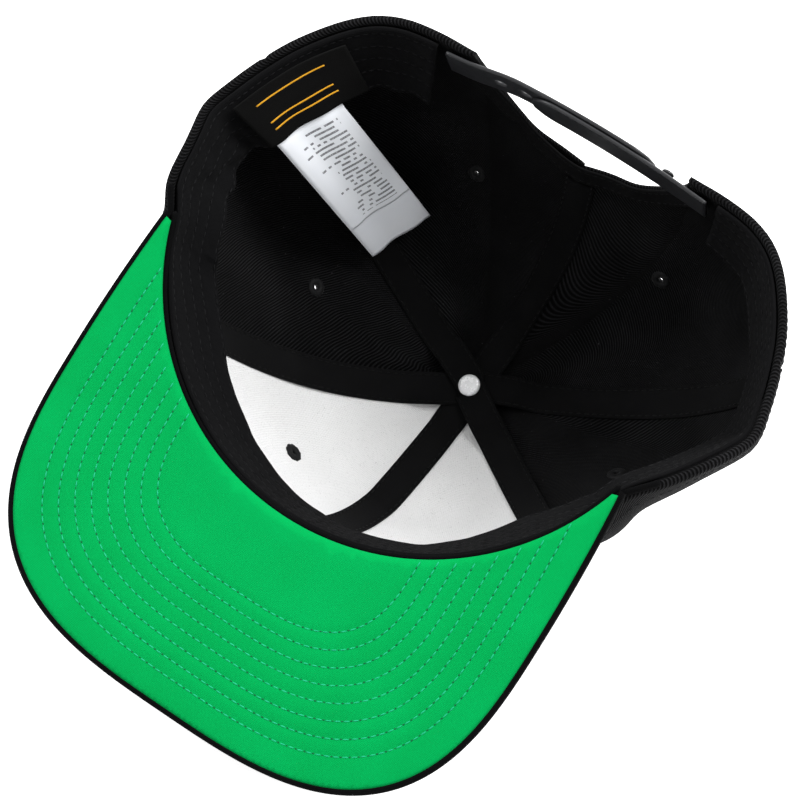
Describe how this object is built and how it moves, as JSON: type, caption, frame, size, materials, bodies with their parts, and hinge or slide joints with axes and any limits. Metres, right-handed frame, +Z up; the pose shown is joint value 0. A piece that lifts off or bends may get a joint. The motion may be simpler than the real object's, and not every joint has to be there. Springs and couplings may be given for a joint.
{
  "type": "snapback cap",
  "caption": "Snapback cap lying on its crown: panelled hollow crown, flat green-lined visor, taped seams, sweatband, labels and a plastic snap strap over a half-moon opening.",
  "frame": {"origin": "on the table under the middle of the cap's box", "axes": "+Z up, +Y from the visor to the snap strap, +X to the wearer's right; the cap lies on its crown, open side up"},
  "size_m": [0.2202, 0.247, 0.1373],
  "materials": {
    "black_twill": "matte",
    "black_cotton": "matte",
    "black_tape": "matte",
    "black_thread": "matte",
    "green_cotton": "matte",
    "white_buckram": "matte",
    "dark_plastic": "satin",
    "bright_rivet": "polished",
    "woven_black": "matte",
    "white_satin": "satin"
  },
  "bodies": {
    "root": {"crown_front_left": "black_twill", "crown_side_left": "black_twill", "crown_back_left": "black_twill", "liner_left": "white_buckram", "eyelet_front_left": "black_thread", "eyelet_side_left": "black_thread", "eyelet_back_left": "black_thread", "crown_front_right": "black_twill", "crown_side_right": "black_twill", "crown_back_right": "black_twill", "liner_right": "white_buckram", "eyelet_front_right": "black_thread", "eyelet_side_right": "black_thread", "eyelet_back_right": "black_thread", "seam_tape_middle": "black_tape", "seam_tape_left": "black_tape", "seam_tape_right": "black_tape", "arch_tape": "black_tape", "crown_button": "black_twill", "button_rivet": "bright_rivet", "sweatband": "black_cotton", "visor_under": "green_cotton", "visor_top": "black_twill", "visor_piping": "black_tape", "strap_outer": "dark_plastic", "strap_inner": "dark_plastic", "woven_label": "woven_black", "care_label_upper": "white_satin", "care_label_lower": "white_satin"}
  },
  "joints": []
}
